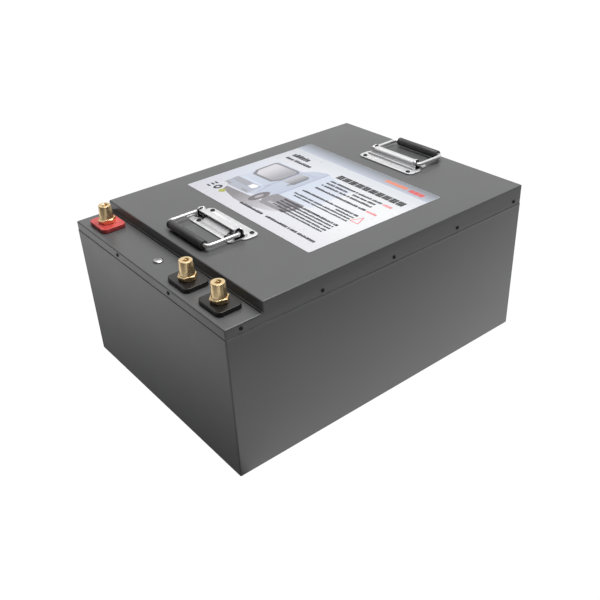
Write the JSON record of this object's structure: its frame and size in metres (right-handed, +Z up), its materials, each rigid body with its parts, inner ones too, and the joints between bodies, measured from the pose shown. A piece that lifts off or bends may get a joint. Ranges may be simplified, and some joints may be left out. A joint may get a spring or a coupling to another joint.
{
  "type": "battery pack",
  "caption": "Large steel-cased battery pack with a stepped screw-on lid, brass threaded posts on insulating pads, a pressure valve, a printed label and spring-loaded folding handles.",
  "frame": {"origin": "centre of the base of the case, on the surface it stands on", "axes": "+Z up, +Y along the case away from the terminals, +X across it, so the terminal end faces -Y and the positive post is at -X"},
  "size_m": [0.3814, 0.5224, 0.2544],
  "materials": {
    "case_paint": "dark grey powder coat, semi-gloss",
    "label_film": "printed polyester film, satin",
    "red_plastic": "moulded, satin",
    "black_plastic": "moulded, satin",
    "brass": "machined, bright",
    "plain_steel": "zinc plated",
    "valve_metal": "machined, satin",
    "chrome": "bright plated",
    "grip_rubber": "smooth vinyl sleeve, satin",
    "spring_steel": "drawn wire",
    "black_steel": "black oxide",
    "cell_can": "blue film over an aluminium can",
    "busbar_metal": "plain bar",
    "foam": "closed-cell foam",
    "glass_epoxy": "glass-epoxy board",
    "unit_housing": "anodised housing",
    "red_lead": "silicone insulation",
    "black_lead": "silicone insulation"
  },
  "bodies": {
    "pack": {"case": "case_paint", "lid": "case_paint", "label": "label_film", "terminal_pad_positive": "red_plastic", "terminal_pad_discharge": "black_plastic", "terminal_pad_charge": "black_plastic", "terminal_positive": "brass", "terminal_discharge": "brass", "terminal_charge": "brass", "terminal_nut_positive": "plain_steel", "terminal_nut_discharge": "plain_steel", "terminal_nut_charge": "plain_steel", "vent_valve": "valve_metal", "handle_plate_front": "chrome", "handle_plate_rear": "chrome", "handle_spring_front": "spring_steel", "handle_spring_rear": "spring_steel", "handle_rivet_1": "black_steel", "handle_rivet_2": "black_steel", "handle_rivet_3": "black_steel", "handle_rivet_4": "black_steel", "handle_rivet_5": "black_steel", "handle_rivet_6": "black_steel", "handle_rivet_7": "black_steel", "handle_rivet_8": "black_steel", "lid_screw_01": "black_steel", "lid_screw_02": "black_steel", "lid_screw_03": "black_steel", "lid_screw_04": "black_steel", "lid_screw_05": "black_steel", "lid_screw_06": "black_steel", "lid_screw_07": "black_steel", "lid_screw_08": "black_steel", "lid_screw_09": "black_steel", "lid_screw_10": "black_steel", "lid_screw_11": "black_steel", "lid_screw_12": "black_steel", "lid_screw_13": "black_steel", "lid_screw_14": "black_steel", "cell_brick_1": "cell_can", "cell_brick_2": "cell_can", "cell_brick_3": "cell_can", "cell_brick_4": "cell_can", "busbar_positive": "busbar_metal", "busbar_negative": "busbar_metal", "busbar_link_left": "busbar_metal", "busbar_link_right": "busbar_metal", "busbar_link_middle": "busbar_metal", "base_pad": "foam", "cover_board": "glass_epoxy", "end_board": "glass_epoxy", "protection_unit": "unit_housing", "lead_positive": "red_lead", "lead_discharge": "black_lead", "lead_charge": "black_lead", "lead_cell_negative": "black_lead"},
    "front_handle": {"handle_bail_front": "chrome", "handle_grip_front": "grip_rubber"},
    "rear_handle": {"handle_bail_rear": "chrome", "handle_grip_rear": "grip_rubber"}
  },
  "joints": [
    {"name": "front_handle_fold", "type": "hinge", "parent": "pack", "child": "front_handle", "pos_m": [-0.0025, -0.137, 0.2453], "axis": [-1, 0, 0], "range_deg": [0, 90], "stiffness_Nm_per_rad": 0.15, "springref_deg": -34.38},
    {"name": "rear_handle_fold", "type": "hinge", "parent": "pack", "child": "rear_handle", "pos_m": [-0.0025, 0.1955, 0.2453], "axis": [1, 0, 0], "range_deg": [0, 90], "stiffness_Nm_per_rad": 0.15, "springref_deg": -34.38}
  ]
}
